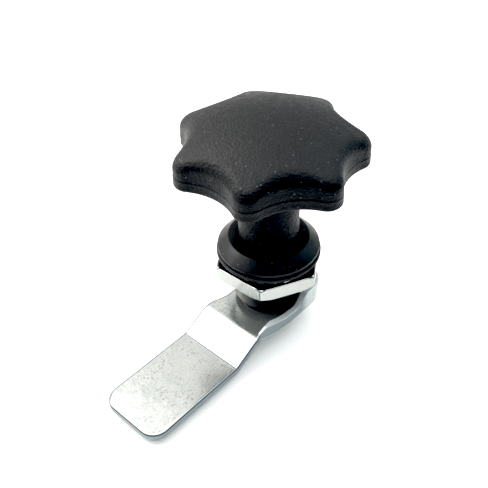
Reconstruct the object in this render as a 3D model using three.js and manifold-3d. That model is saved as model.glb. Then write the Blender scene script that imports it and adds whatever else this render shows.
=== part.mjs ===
// Quarter-turn cam latch with a seven-lobed star knob.
// Millimetres, +Z up. The origin is on the spindle's axis, in the plane of the panel's outer face,
// where the gasket seats. At rest the cam points along -Y.
import * as THREE from "three";
import { mergeVertices } from "three/addons/utils/BufferGeometryUtils.js";
import Module from "manifold-3d";

const wasm = await Module();
wasm.setup();

// ---- driving dimensions ----
const gap = 0.3;                    // clearance kept between neighbouring pieces
const ringSegments = 40;            // facets round a full turn
const halfRound = 1 - Math.SQRT1_2; // how far a round's middle lies from its corner, per unit of radius
const latch = new THREE.Group();

const gasket = { inner: 11.3, outer: 14.35, thick: 1.5 };
const flange = { radius: 14, under: 1.5, landTop: 2.7, top: 5.3, topRadius: 11.1 };
const barrel = { radius: 11, end: -7.8, endChamfer: 0.8 };
const lowerBody = { radius: 9.8, end: -14.4, endRadius: 9.6 };
const neck = { radius: 8.2, bottom: 2.3, top: 28.2, bore: 6.3, boreTop: 24.3, rootFillet: 1.6 };
const topRecess = { radius: 8.5, floor: 0.2 };
const spindle = {
  radius: 5, knobEnd: 4, shoulder: 1.9, top: 23.5, topChamfer: 0.6, squareTop: -13.2, across: 8,
  squareReach: 5.2,
};
const spindleBore = spindle.radius + gap;
const bolt = {
  radius: 3, across: 10, cornerAngle: -40, head: 3.8, headChamfer: 0.7, shankTop: -8, tipChamfer: 0.6,
  holeRadius: 3.3, holeTop: -6,
};
const nut = { across: 27, cornerAngle: -57.2, top: -1.8, thick: 4.2, bore: 11.3, chamferStart: 14.2 };
const toothedWasher = {
  inner: 11.3, root: 12.9, tip: 13.9, thick: 0.6, teeth: 16, rootShare: 0.4, tipFrom: 0.55, tipTo: 0.85,
};

const star = {
  lobes: 7, radius: 25.2, lobeRadius: 4, scoopFloor: 20.7, firstLobeAngle: -62.5,
  bottom: 28.2, bottomRound: 0.7, edgeRound: 2, draft: 0.04, crownTop: 41.35, crownRadius: 52,
};
const cam = {
  thick: 2, top: -16.7, drop: 4.3, halfWidth: 10, tip: -55, tipRound: 4.5, crest: -16.2, foot: -24.3,
  bendRadius: 2, fixLeft: -8.4, fixRight: 12.2, back: 13.4, cornerRadius: 8.2,
  backLeftRadius: 7, backLeftInset: 2,
};
const camRim = {
  thick: 2, outerBend: 1.8, start: -15, rampLength: 3, frontTop: -14.7, backTop: -12, end: 1,
};
const underCam = cam.top - cam.thick;

const insert = { knurlStep: 20, grooveWidth: 0.6, grooveLength: 14, grooveMiddle: 14 };
const neckSeal = { top: 4.6, bottom: 3.2, depth: 1.2, cord: 0.5, ring: 7.8 };
const spindleSeal = { top: -4.0, bottom: -5.6, floor: 3.9, cord: 0.45, ring: 4.65 };
const clip = { inner: 4.5, outer: 6.1, top: -11.5, thick: 0.6, opening: 3, grooveFloor: 4.2 };
const stop = { radius: 8.2, lugInner: 6.9, lugTop: -12.6, lugHalfAngle: 20, lugPlay: 2.4, turn: 90 };
const wave = { inner: 5.4, outer: 8, waves: 3, height: 0.3, thick: 0.25 };
const thrust = { inner: 5.4, outer: 8, bottom: 1.35, thick: 0.55 };
const camWasher = { inner: 3.3, outer: 6, thick: 0.9, top: underCam - gap };
const splitWasher = {
  inner: 3.3, outer: 5.4, thick: 1.3, top: camWasher.top - camWasher.thick - gap, cut: 0.7,
};
const headTop = splitWasher.top - splitWasher.thick - gap;

// ---- helpers ----
function toSolid(geometry) {
  const bare = geometry.clone();
  bare.deleteAttribute("normal");
  bare.deleteAttribute("uv");
  const merged = mergeVertices(bare, 1e-4);
  return new wasm.Manifold(new wasm.Mesh({
    numProp: 3,
    vertProperties: new Float32Array(merged.attributes.position.array),
    triVerts: new Uint32Array(merged.index.array),
  }));
}

function toGeometry(solid) {
  const mesh = solid.getMesh();
  const geometry = new THREE.BufferGeometry();
  geometry.setAttribute("position", new THREE.BufferAttribute(mesh.vertProperties, 3));
  geometry.setIndex(new THREE.BufferAttribute(mesh.triVerts, 1));
  geometry.computeVertexNormals();
  return geometry;
}

// A turned shape: points are [radius, height] pairs round the closed section.
function turned(points, segments = ringSegments) {
  const profile = points.map(([radius, height]) => new THREE.Vector2(radius, height));
  if (points[0][0] > 0) profile.push(profile[0].clone());
  const geometry = new THREE.LatheGeometry(profile, segments);
  geometry.rotateX(Math.PI / 2);
  return toSolid(geometry);
}

function disc(radius, bottom, top, segments = ringSegments) {
  return turned([[0, bottom], [radius, bottom], [radius, top], [0, top]], segments);
}

function ring(inner, outer, bottom, top, segments = ringSegments) {
  return turned([[inner, bottom], [outer, bottom], [outer, top], [inner, top]], segments);
}

function raised(shape, bottom, top, curveSegments = 6) {
  const depth = top - bottom;
  const geometry = new THREE.ExtrudeGeometry(shape, { depth, bevelEnabled: false, curveSegments });
  geometry.translate(0, 0, bottom);
  return toSolid(geometry);
}

function block(width, length, bottom, top, x = 0, y = 0) {
  const geometry = new THREE.BoxGeometry(width, length, top - bottom);
  geometry.translate(x, y, (top + bottom) / 2);
  return toSolid(geometry);
}

// A hexagon of a given size across its flats, with one corner at the start angle, in degrees.
function hexagon(across, startAngle) {
  const corner = across / 2 / Math.cos(Math.PI / 6);
  const points = [];
  for (let side = 0; side < 6; side += 1) {
    const angle = THREE.MathUtils.degToRad(startAngle + side * 60);
    points.push(new THREE.Vector2(corner * Math.cos(angle), corner * Math.sin(angle)));
  }
  return new THREE.Shape(points);
}

// A rubber ring of round cord, half way up its groove.
function sealRing(seal) {
  const geometry = new THREE.TorusGeometry(seal.ring, seal.cord, 8, 32);
  geometry.translate(0, 0, (seal.top + seal.bottom) / 2);
  return toSolid(geometry);
}

function finish(colour, roughness, metalness) {
  return new THREE.MeshStandardMaterial({ color: colour, roughness, metalness });
}

function add(name, solid, material) {
  const mesh = new THREE.Mesh(toGeometry(solid), material);
  mesh.name = name;
  latch.add(mesh);
}

const blackNylon = finish(0x1d1e21, 0.5, 0.0);
const blackCoat = finish(0x131416, 0.45, 0.2);
const blackRubber = finish(0x0d0d0e, 0.8, 0.0);
const zinc = finish(0xd5d9da, 0.25, 1.0);
const turnedSteel = finish(0x9da1a4, 0.35, 1.0);
const whitePlastic = finish(0xd8d6cf, 0.5, 0.0);

// ---- knob ----
// The outline is a round lobe and a hollow scoop in turn, each arc running smoothly into the next.
// Every point carries the direction that points out of the outline.
function starOutline() {
  const half = Math.PI / star.lobes;
  const lobeCentre = star.radius - star.lobeRadius;
  const k = star.lobeRadius - star.scoopFloor;
  const scoopCentre = (lobeCentre ** 2 - k ** 2) / (2 * (k + lobeCentre * Math.cos(half)));
  const scoopRadius = scoopCentre - star.scoopFloor;
  const across = scoopCentre * Math.sin(half);
  const along = scoopCentre * Math.cos(half) - lobeCentre;
  const lobeSweep = Math.atan2(across, along);
  const scoopSweep = lobeSweep - half;
  const steps = 6;
  const outline = [];
  const walk = (centreRadius, centreAngle, radius, side, from, to) => {
    for (let step = 0; step < steps; step += 1) {
      const angle = from + ((to - from) * step) / steps;
      const out = new THREE.Vector2(Math.cos(angle), Math.sin(angle));
      const centre = new THREE.Vector2(Math.cos(centreAngle), Math.sin(centreAngle));
      centre.multiplyScalar(centreRadius);
      outline.push({ at: centre.addScaledVector(out, radius), out: out.multiplyScalar(side) });
    }
  };
  for (let lobe = 0; lobe < star.lobes; lobe += 1) {
    const angle = THREE.MathUtils.degToRad(star.firstLobeAngle) + 2 * half * lobe;
    const facing = angle + half + Math.PI;
    walk(lobeCentre, angle, star.lobeRadius, 1, angle - lobeSweep, angle + lobeSweep);
    walk(scoopCentre, angle + half, scoopRadius, -1, facing + scoopSweep, facing - scoopSweep);
  }
  return outline;
}

function crownHeight(x, y) {
  return star.crownTop - (x ** 2 + y ** 2) / (2 * star.crownRadius);
}

// The head is a stack of closed rings: the round lower edge, the drafted side, the round upper edge that
// follows the crown, then the crown itself in towards its middle.
function starRings() {
  const outline = starOutline();
  const sideHeight = crownHeight(star.radius, 0) - star.edgeRound - star.bottom;
  const inset = (amount) => outline.map(({ at, out }) => at.clone().addScaledVector(out, -amount));
  const level = (points, height) => points.map(({ x, y }) => [x, y, height]);
  const crowned = (points, drop) => points.map(({ x, y }) => [x, y, crownHeight(x, y) - drop]);
  const rings = [
    level(inset(star.bottomRound), star.bottom),
    level(inset(star.bottomRound * halfRound), star.bottom + star.bottomRound * halfRound),
    level(inset(0), star.bottom + star.bottomRound),
  ];
  const roundSteps = 4;
  const sideInset = star.draft * sideHeight;
  for (let step = 0; step <= roundSteps; step += 1) {
    const turn = (Math.PI / 2) * (step / roundSteps);
    const inward = sideInset + star.edgeRound * (1 - Math.cos(turn));
    rings.push(crowned(inset(inward), star.edgeRound * (1 - Math.sin(turn))));
  }
  const rim = inset(sideInset + star.edgeRound);
  for (const scale of [0.75, 0.5, 0.25]) {
    rings.push(crowned(rim.map((point) => point.clone().multiplyScalar(scale)), 0));
  }
  return rings;
}

function stackRings(rings) {
  const count = rings[0].length;
  const bottomMiddle = rings.length * count;
  const topMiddle = bottomMiddle + 1;
  const positions = [...rings.flat(), [0, 0, star.bottom], [0, 0, star.crownTop]].flat();
  const triangles = [];
  for (let point = 0; point < count; point += 1) {
    const next = (point + 1) % count;
    for (let row = 0; row < rings.length - 1; row += 1) {
      const low = row * count;
      const high = low + count;
      triangles.push(low + point, low + next, high + next, low + point, high + next, high + point);
    }
    const last = (rings.length - 1) * count;
    triangles.push(bottomMiddle, next, point, topMiddle, last + point, last + next);
  }
  const geometry = new THREE.BufferGeometry();
  geometry.setAttribute("position", new THREE.Float32BufferAttribute(positions, 3));
  geometry.setIndex(triangles);
  return toSolid(geometry);
}

function knobNeck() {
  const fillet = neck.rootFillet;
  const overlap = 0.5;
  return turned([
    [0, neck.bottom], [neck.radius - overlap, neck.bottom], [neck.radius, neck.bottom + overlap],
    [neck.radius, neck.top - fillet],
    [neck.radius + fillet * halfRound, neck.top - fillet * halfRound],
    [neck.radius + fillet, neck.top + overlap], [0, neck.top + overlap],
  ]);
}

function starKnob() {
  const sealGroove = ring(neck.radius - neckSeal.depth, neck.radius + 1, neckSeal.bottom, neckSeal.top);
  const bore = disc(neck.bore, neck.bottom - 1, neck.boreTop);
  return stackRings(starRings()).add(knobNeck()).subtract(bore).subtract(sealGroove);
}

function knobInsert() {
  const outer = neck.bore - gap;
  let knurled = ring(spindle.knobEnd + gap, outer, neck.bottom + gap, neck.boreTop - gap);
  for (let angle = 0; angle < 360; angle += insert.knurlStep) {
    const groove = new THREE.BoxGeometry(insert.grooveWidth, insert.grooveWidth, insert.grooveLength);
    groove.rotateZ(Math.PI / 4);
    groove.translate(outer, 0, insert.grooveMiddle);
    groove.rotateZ(THREE.MathUtils.degToRad(angle));
    knurled = knurled.subtract(toSolid(groove));
  }
  return knurled;
}

// ---- spindle and what runs on it ----
function spindleShaft() {
  const r = spindle.radius;
  const clipTop = clip.top + gap;
  const clipBottom = clip.top - clip.thick - gap;
  const shaft = turned([
    [0, spindle.squareTop - 0.1], [r, spindle.squareTop - 0.1],
    [r, clipBottom], [clip.grooveFloor, clipBottom], [clip.grooveFloor, clipTop], [r, clipTop],
    [r, spindleSeal.bottom], [spindleSeal.floor, spindleSeal.bottom],
    [spindleSeal.floor, spindleSeal.top], [r, spindleSeal.top],
    [r, spindle.shoulder], [spindle.knobEnd, spindle.shoulder],
    [spindle.knobEnd, spindle.top - spindle.topChamfer],
    [spindle.knobEnd - spindle.topChamfer, spindle.top], [0, spindle.top],
  ]);
  const square = block(spindle.across, spindle.across, underCam, spindle.squareTop);
  const rounded = square.intersect(disc(spindle.squareReach, underCam - 1, spindle.squareTop + 1));
  return shaft.add(rounded).subtract(disc(bolt.holeRadius, underCam - 1, bolt.holeTop, 24));
}

function squareHole(bottom, top) {
  return block(spindle.across + 2 * gap, spindle.across + 2 * gap, bottom, top);
}

// A sector of a ring, from one angle to another, in degrees.
function sector(inner, outer, from, to, bottom, top) {
  const start = THREE.MathUtils.degToRad(from);
  const end = THREE.MathUtils.degToRad(to);
  const shape = new THREE.Shape();
  shape.absarc(0, 0, outer, start, end, false);
  shape.absarc(0, 0, inner, end, start, true);
  return raised(shape, bottom, top, 16);
}

// The disc lies between the housing and the cam. Its lug points the same way as the cam, stands up into
// the housing's groove and meets the ends of the groove.
function stopDisc() {
  const top = lowerBody.end - gap;
  const bottom = cam.top + gap;
  const from = -90 - stop.lugHalfAngle;
  const to = -90 + stop.lugHalfAngle;
  const lug = sector(stop.lugInner, stop.radius, from, to, top - 0.1, stop.lugTop);
  return disc(stop.radius, bottom, top).add(lug).subtract(squareHole(bottom - 1, top + 1));
}

function retainingRing() {
  const band = ring(clip.inner, clip.outer, clip.top - clip.thick, clip.top, 32);
  return band.subtract(block(clip.opening, clip.outer, clip.top - 1, clip.top + 1, 0, clip.outer - 1));
}

function waveSpring() {
  const { inner, outer, thick } = wave;
  const section = [[inner, 0], [outer, 0], [outer, thick], [inner, thick], [inner, 0]];
  const profile = section.map(([radius, height]) => new THREE.Vector2(radius, height));
  const band = new THREE.LatheGeometry(profile, 48);
  band.rotateX(Math.PI / 2);
  const position = band.attributes.position;
  for (let index = 0; index < position.count; index += 1) {
    const angle = Math.atan2(position.getY(index), position.getX(index));
    position.setZ(index, position.getZ(index) + (wave.height * (1 + Math.cos(wave.waves * angle))) / 2);
  }
  band.translate(0, 0, topRecess.floor + gap);
  return toSolid(band);
}

// ---- housing and what clamps it ----
function housing() {
  const edge = 0.4;
  const outside = turned([
    [0, lowerBody.end], [lowerBody.endRadius - edge, lowerBody.end],
    [lowerBody.endRadius, lowerBody.end + edge],
    [lowerBody.radius, barrel.end], [barrel.radius - barrel.endChamfer, barrel.end],
    [barrel.radius, barrel.end + barrel.endChamfer], [barrel.radius, flange.under],
    [flange.radius, flange.under], [flange.radius, flange.landTop],
    [flange.topRadius, flange.top], [0, flange.top],
  ], 48);
  const recess = disc(topRecess.radius, topRecess.floor, flange.top + 1);
  const bore = disc(spindleBore, lowerBody.end - 1, flange.top);
  const clipRoom = disc(clip.outer + gap, lowerBody.end - 1, clip.top + 2 * gap);
  const reach = stop.lugHalfAngle + stop.lugPlay;
  const grooveFrom = -90 - reach;
  const grooveTo = -90 + stop.turn + reach;
  const groove = sector(
    stop.lugInner - gap, stop.radius + gap, grooveFrom, grooveTo, lowerBody.end - 1, stop.lugTop + gap,
  );
  return outside.subtract(recess).subtract(bore).subtract(clipRoom).subtract(groove);
}

function lockWasher() {
  const { inner, root, tip, thick, teeth, rootShare, tipFrom, tipTo } = toothedWasher;
  const shape = new THREE.Shape();
  const pitch = (2 * Math.PI) / teeth;
  for (let tooth = 0; tooth < teeth; tooth += 1) {
    const angle = tooth * pitch;
    shape.absarc(0, 0, root, angle, angle + pitch * rootShare, false);
    shape.absarc(0, 0, tip, angle + pitch * tipFrom, angle + pitch * tipTo, false);
  }
  shape.closePath();
  const bottom = nut.top + gap;
  return raised(shape, bottom, bottom + thick, 2).subtract(disc(inner, bottom - 1, bottom + 1));
}

function hexNut() {
  const bottom = nut.top - nut.thick;
  const body = raised(hexagon(nut.across, nut.cornerAngle), bottom, nut.top);
  const corner = nut.across / 2 / Math.cos(Math.PI / 6) + gap;
  const face = nut.chamferStart;
  const rise = (corner - face) * Math.tan(Math.PI / 6);
  const chamfer = turned([
    [0, bottom], [face, bottom], [corner, bottom + rise],
    [corner, nut.top - rise], [face, nut.top], [0, nut.top],
  ], 48);
  return body.intersect(chamfer).subtract(disc(nut.bore, bottom - 1, nut.top + 1, 48));
}

// ---- cam ----
// Turns a side view, drawn along Y and Z, into a solid that is wide along X.
function swept(shape) {
  const depth = 60;
  const geometry = new THREE.ExtrudeGeometry(shape, { depth, bevelEnabled: false, curveSegments: 5 });
  geometry.translate(0, 0, -depth / 2);
  geometry.rotateX(Math.PI / 2);
  geometry.rotateZ(Math.PI / 2);
  return toSolid(geometry);
}

// The bent strip's middle line is walked with an arc at each bend, then thickened to both sides.
function camStrip() {
  const middle = cam.top - cam.thick / 2;
  const slope = Math.atan2(cam.drop, cam.crest - cam.foot);
  const tangent = cam.bendRadius * Math.tan(slope / 2);
  const beyondBack = cam.back + 5;
  const beyondTip = cam.tip - 5;
  const bendSteps = 5;
  const rows = [[beyondBack, middle, 0]];
  for (let step = 0; step <= bendSteps; step += 1) {
    const turn = (slope * step) / bendSteps;
    rows.push([
      cam.crest + tangent - cam.bendRadius * Math.sin(turn),
      middle - cam.bendRadius * (1 - Math.cos(turn)), turn,
    ]);
  }
  for (let step = 0; step <= bendSteps; step += 1) {
    const turn = slope * (1 - step / bendSteps);
    rows.push([
      cam.foot - tangent + cam.bendRadius * Math.sin(turn),
      middle - cam.drop + cam.bendRadius * (1 - Math.cos(turn)), turn,
    ]);
  }
  rows.push([beyondTip, middle - cam.drop, 0]);
  const side = (sign) => rows.map(([y, z, turn]) => new THREE.Vector2(
    y - (sign * Math.sin(turn) * cam.thick) / 2,
    z + (sign * Math.cos(turn) * cam.thick) / 2,
  ));
  return swept(new THREE.Shape([...side(1), ...side(-1).reverse()]));
}

// The right side runs out from the blade's width to the wider fixing end, then round its back corner.
function rightSide(shape, inward) {
  const { halfWidth, crest, fixRight, back, cornerRadius } = cam;
  const near = halfWidth - inward;
  const far = fixRight - inward;
  shape.lineTo(near, crest);
  shape.bezierCurveTo(near + 0.8, crest + 3, far - 0.1, crest + 8, far, crest + 14);
  const centreX = fixRight - cornerRadius;
  const centreY = back - cornerRadius;
  shape.absarc(centreX, centreY, cornerRadius - inward, 0, Math.PI / 2, false);
}

function camOutline() {
  const { halfWidth, tip, tipRound, crest, fixLeft, backLeftRadius } = cam;
  const backLeft = cam.back - cam.backLeftInset;
  const shape = new THREE.Shape();
  shape.moveTo(-halfWidth, crest);
  shape.absarc(-halfWidth + tipRound, tip + tipRound, tipRound, Math.PI, 1.5 * Math.PI, false);
  shape.absarc(halfWidth - tipRound, tip + tipRound, tipRound, 1.5 * Math.PI, 2 * Math.PI, false);
  rightSide(shape, 0);
  shape.absarc(
    fixLeft + backLeftRadius, backLeft - backLeftRadius, backLeftRadius, Math.PI / 2, Math.PI, false,
  );
  shape.lineTo(fixLeft, crest + 8);
  shape.bezierCurveTo(fixLeft, crest + 5, -halfWidth, crest + 4, -halfWidth, crest);
  return shape;
}

// The area within the right side, carried on a little way down the blade.
function filledSide(inward) {
  const front = cam.crest - 5;
  const shape = new THREE.Shape();
  shape.moveTo(-cam.halfWidth, front);
  shape.lineTo(cam.halfWidth - inward, front);
  rightSide(shape, inward);
  shape.lineTo(-cam.halfWidth, cam.back - inward);
  return shape;
}

// The raised rim follows the right side of the fixing end and turns round its back corner.
function camRimWall() {
  const top = camRim.backTop + 1;
  const outer = raised(filledSide(0), underCam, top, 8);
  const inner = raised(filledSide(camRim.thick), underCam - 1, top + 1, 8);
  const keep = block(40, 40, underCam, top, camRim.end + 20, camRim.start + 20);
  return outer.subtract(inner).intersect(keep).subtract(rimTopCutter());
}

function rimTopCutter() {
  const { start, rampLength, frontTop, backTop } = camRim;
  const high = 5;
  const shape = new THREE.Shape();
  shape.moveTo(start - 1, cam.top);
  shape.lineTo(start, cam.top);
  shape.lineTo(start + rampLength, frontTop);
  shape.lineTo(0, frontTop + gap);
  shape.quadraticCurveTo(6, backTop, 9, backTop);
  shape.lineTo(cam.back + 5, backTop);
  shape.lineTo(cam.back + 5, high);
  shape.lineTo(start - 1, high);
  return swept(shape);
}

// What the round outer bend under the rim leaves out of the square corner.
function rimBendWaste() {
  const round = camRim.outerBend;
  const geometry = new THREE.ExtrudeGeometry(filledSide(0), {
    depth: 10, bevelEnabled: true, bevelThickness: round, bevelSize: round, bevelOffset: -round,
    bevelSegments: 3, curveSegments: 8,
  });
  geometry.translate(0, 0, underCam + round);
  const corner = block(40, 40, underCam - 1, underCam + round, camRim.end + 20, camRim.start + 20);
  return corner.subtract(toSolid(geometry));
}

function camPlate() {
  const plate = camStrip().intersect(raised(camOutline(), cam.top - 20, cam.top + 20, 8));
  return plate.add(camRimWall()).subtract(rimBendWaste()).subtract(squareHole(cam.top - 5, cam.top + 5));
}

function camSpringWasher() {
  const { inner, outer, thick, top, cut } = splitWasher;
  const slit = new THREE.BoxGeometry(outer, cut, 4);
  slit.rotateX(Math.PI / 6);
  slit.translate((inner + outer) / 2, 0, top - thick / 2);
  return ring(inner, outer, top - thick, top, 32).subtract(toSolid(slit));
}

function camBolt() {
  const bottom = headTop - bolt.head;
  const corner = bolt.across / 2 / Math.cos(Math.PI / 6) + 0.1;
  const face = bolt.across / 2 - 0.2;
  const chamfer = turned([
    [0, bottom], [face, bottom], [corner, bottom + bolt.headChamfer], [corner, headTop], [0, headTop],
  ], 32);
  const head = raised(hexagon(bolt.across, bolt.cornerAngle), bottom, headTop).intersect(chamfer);
  const shank = turned([
    [0, headTop - 0.1], [bolt.radius, headTop - 0.1], [bolt.radius, bolt.shankTop - bolt.tipChamfer],
    [bolt.radius - bolt.tipChamfer, bolt.shankTop], [0, bolt.shankTop],
  ], 24);
  return head.add(shank);
}

// ---- assembly ----
add("star_knob", starKnob(), blackNylon);
add("knob_insert", knobInsert(), turnedSteel);
add("spindle", spindleShaft(), turnedSteel);
add("neck_seal", sealRing(neckSeal), blackRubber);
add("thrust_washer",
  ring(thrust.inner, thrust.outer, thrust.bottom, thrust.bottom + thrust.thick), whitePlastic);
add("wave_spring", waveSpring(), turnedSteel);
add("spindle_o_ring", sealRing(spindleSeal), blackRubber);
add("retaining_ring", retainingRing(), turnedSteel);
add("stop_disc", stopDisc(), blackCoat);
add("cam", camPlate(), zinc);
add("cam_washer",
  ring(camWasher.inner, camWasher.outer, camWasher.top - camWasher.thick, camWasher.top, 32), zinc);
add("cam_spring_washer", camSpringWasher(), zinc);
add("cam_bolt", camBolt(), zinc);
add("housing", housing(), blackCoat);
add("flange_gasket", ring(gasket.inner, gasket.outer, 0, gasket.thick - gap, 48), blackRubber);
add("lock_washer", lockWasher(), zinc);
add("hex_nut", hexNut(), zinc);

export default latch;
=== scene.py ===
"""Quarter-turn cam latch: the looks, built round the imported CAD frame.

Sizes are in millimetres in the frame's own axes and are turned into metres as each mesh is made. Angles in
the tables of sizes are in degrees. Scales of noise and cells in the materials are per metre.
"""
import math

import bpy
import bmesh
import numpy as np
from mathutils import Matrix, Vector, noise

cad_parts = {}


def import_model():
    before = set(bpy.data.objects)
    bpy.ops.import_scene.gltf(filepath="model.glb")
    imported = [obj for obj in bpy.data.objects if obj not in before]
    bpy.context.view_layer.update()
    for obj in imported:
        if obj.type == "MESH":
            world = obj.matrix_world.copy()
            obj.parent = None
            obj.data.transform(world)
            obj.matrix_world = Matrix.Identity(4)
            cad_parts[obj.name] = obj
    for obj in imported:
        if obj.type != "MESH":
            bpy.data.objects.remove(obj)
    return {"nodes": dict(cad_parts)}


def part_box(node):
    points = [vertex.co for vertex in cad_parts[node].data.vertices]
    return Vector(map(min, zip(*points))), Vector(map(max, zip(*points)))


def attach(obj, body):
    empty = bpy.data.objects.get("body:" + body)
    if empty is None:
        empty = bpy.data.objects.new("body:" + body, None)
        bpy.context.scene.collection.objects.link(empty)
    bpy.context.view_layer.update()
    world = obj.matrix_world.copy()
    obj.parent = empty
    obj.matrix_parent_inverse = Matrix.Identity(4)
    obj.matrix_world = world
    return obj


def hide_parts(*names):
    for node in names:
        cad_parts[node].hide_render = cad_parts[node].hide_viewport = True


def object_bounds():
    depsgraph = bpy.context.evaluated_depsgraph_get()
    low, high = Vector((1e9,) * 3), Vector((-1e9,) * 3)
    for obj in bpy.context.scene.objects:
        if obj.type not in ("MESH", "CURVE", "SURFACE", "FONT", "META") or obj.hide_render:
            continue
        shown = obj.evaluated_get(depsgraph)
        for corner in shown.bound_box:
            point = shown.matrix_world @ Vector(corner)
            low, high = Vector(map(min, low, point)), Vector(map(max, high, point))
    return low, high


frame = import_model()
cad_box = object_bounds()

MM = 0.001
TURN = 2 * math.pi


def low(node):
    return np.array(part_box(node)[0]) / MM


def high(node):
    return np.array(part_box(node)[1]) / MM


# ---- driving sizes ----
STAR = {
    "lobes": 7, "radius": 25.2, "lobe_radius": 4.0, "scoop_floor": 20.7, "first_lobe": -62.5,
    "bottom": 28.2, "bottom_round": 0.9, "draft": 0.03, "crown_radius": 52.0,
    "lobe_round": 2.2, "scoop_round": 2.9, "crown_top": high("star_knob")[2],
}
# a fine raised line round the knob's side, with a slight dent above it
PARTING = {
    "lift": 2.9, "half": 0.08, "proud": 0.07, "foot": 0.25, "low": 1.6,
    "dent_lift": 0.2, "dent": 0.02, "clear": 0.5,
}
NECK = {
    "radius": 8.2, "bore": 6.3, "bore_top": 24.3, "bottom": low("star_knob")[2], "fillet": 1.8,
    "edge": 0.5, "edge_middle": 0.15, "mouth": 0.4, "plain_from": 5.5,
    "seal_bottom": 3.2, "seal_top": 4.6, "seal_depth": 1.2,
}
FLANGE = {"radius": 14.0, "under": 1.5, "land_top": 2.7, "top_radius": 11.1, "top": high("housing")[2]}
BARREL = {
    "radius": 11.0, "root": 10.1, "pitch": 1.5, "end": -7.8, "chamfer": 0.9, "chamfer_height": 0.8,
    "body": 9.8, "body_end": 9.6, "body_top": 0.3, "plain_under_flange": 1.4, "thread_fade": 0.6,
}
RECESS = {"radius": 8.5, "floor": 0.2, "bore": 5.3, "clip_room": 6.4, "clip_top": -10.9}
# the groove in the housing's end face, in which the stop disc's lug swings; from and to are angles
GROOVE = {"inner": 6.6, "outer": 8.5, "from": -112.4, "to": 22.4, "ceiling": -12.3}
NUT = {
    "across": 27.0, "corner_angle": -57.2, "blunt": 0.12, "face": 14.2, "top_face": 14.9,
    "play": 0.12, "thread_depth": 0.75,
}
BOLT = {
    "across": 10.0, "corner_angle": -40.0, "blunt": 0.1, "head": 3.8, "collar": 0.25,
    "root": 2.4, "thread_depth": 0.58, "pitch": 1.0, "neck": 3.1, "end": 2.2,
}
PLATE = {
    "thick": 2.0, "top": -16.7, "drop": 4.3, "half": 10.0, "tip": low("cam")[1], "tip_round": 4.5,
    "crest": -16.2, "foot": -24.3, "crest_bend": 6.0, "foot_bend": 2.5,
    "fix_left": -8.4, "fix_right": high("cam")[0], "back": high("cam")[1],
    "corner": 8.2, "left_corner": 7.0, "left_short": 2.0, "square": 8.6, "hairline": 0.22,
}
RIM = {
    "start": -16.2, "ramp": 3.2, "front": 2.6, "middle": 1.9, "back": 4.8, "outer_bend": 2.0,
    "end": 0.0, "fall": 3.0, "dip_from": -12.5, "dip_length": 7.0, "climb_from": -1.4, "climb_length": 4.0,
    "thin": 0.6, "thicken_length": 3.2, "thicken_lead": 0.8,
}
# the sheet's finishes, kept in its points: rolled skin, bright cut face, dull cut face, dark burr. The
# dull finish is also painted shade on the rim's outer face towards its front, and the burr's dark is also
# painted shade along the top of left-facing edges
SKIN, CUT, DULL_AND_SHADE, BURR = 0.0, 0.3, 0.6, 1.0


# ---- mesh helpers ----
def add_object(name, data):
    obj = bpy.data.objects.new(name, data)
    bpy.context.scene.collection.objects.link(obj)
    return obj


def material_slot(obj, material):
    obj.data.materials.clear()
    obj.data.materials.append(material)


def build(name, verts, faces, sharp=35, sheared=None):
    """A smooth-shaded closed mesh from points in millimetres; edges sharper than the angle stay sharp.

    sheared gives each point one of the sheet's finishes, or a value between them.
    """
    mesh = bpy.data.meshes.new(name)
    bm = bmesh.new()
    layer = bm.verts.layers.float.new("sheared")
    points = [bm.verts.new([c * MM for c in v]) for v in verts]
    if sheared:
        for point, share in zip(points, sheared):
            point[layer] = share
    for face in faces:
        if len(set(face)) > 2:
            bm.faces.new([points[i] for i in face])
    bmesh.ops.remove_doubles(bm, verts=bm.verts, dist=1e-7)
    bmesh.ops.dissolve_degenerate(bm, edges=bm.edges, dist=1e-8)
    bmesh.ops.recalc_face_normals(bm, faces=bm.faces)
    bm.to_mesh(mesh)
    bm.free()
    mesh.shade_smooth()
    mesh.set_sharp_from_angle(angle=math.radians(sharp))
    return add_object(name, mesh)


def polar(radius, angle, z):
    return (radius * math.cos(angle), radius * math.sin(angle), z)


def stack(rings, closed=False):
    """Quads between successive rings of equal length; closed joins the last ring to the first."""
    count = len(rings[0])
    verts = [p for ring in rings for p in ring]
    faces = []
    last = len(rings) if closed else len(rings) - 1
    for row in range(last):
        here = row * count
        there = ((row + 1) % len(rings)) * count
        for i in range(count):
            j = (i + 1) % count
            faces.append((here + i, here + j, there + j, there + i))
    return verts, faces


def capped(rings, bottom, top):
    """A stack of rings closed by a fan to a middle point at each end."""
    verts, faces = stack(rings)
    count = len(rings[0])
    verts += [bottom, top]
    start = (len(rings) - 1) * count
    for i in range(count):
        j = (i + 1) % count
        faces.append((len(verts) - 2, j, i))
        faces.append((len(verts) - 1, start + i, start + j))
    return verts, faces


def closed_tube(rings):
    """A stack of rings with a fan over the first and the last."""
    first, last = np.mean(rings[0], axis=0), np.mean(rings[-1], axis=0)
    return capped(rings, tuple(first), tuple(last))


def rounded(points, steps=4):
    """A closed section of (radius, height, fillet), with each corner replaced by an arc of its fillet."""
    path = []
    count = len(points)
    for i, (x, z, fillet) in enumerate(points):
        corner = np.array([x, z], float)
        before = np.array(points[i - 1][:2], float) - corner
        after = np.array(points[(i + 1) % count][:2], float) - corner
        if fillet <= 0:
            path.append(tuple(corner))
            continue
        u = before / np.linalg.norm(before)
        w = after / np.linalg.norm(after)
        half = math.acos(np.clip(u @ w, -1, 1)) / 2
        reach = fillet / math.tan(half)
        middle = corner + (u + w) / np.linalg.norm(u + w) * fillet / math.sin(half)
        start = corner + u * reach - middle
        end = corner + w * reach - middle
        sweep = math.pi - 2 * half
        for step in range(steps + 1):
            t = step / steps
            point = (start * math.sin((1 - t) * sweep) + end * math.sin(t * sweep)) / math.sin(sweep)
            path.append(tuple(middle + point))
    return path


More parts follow.
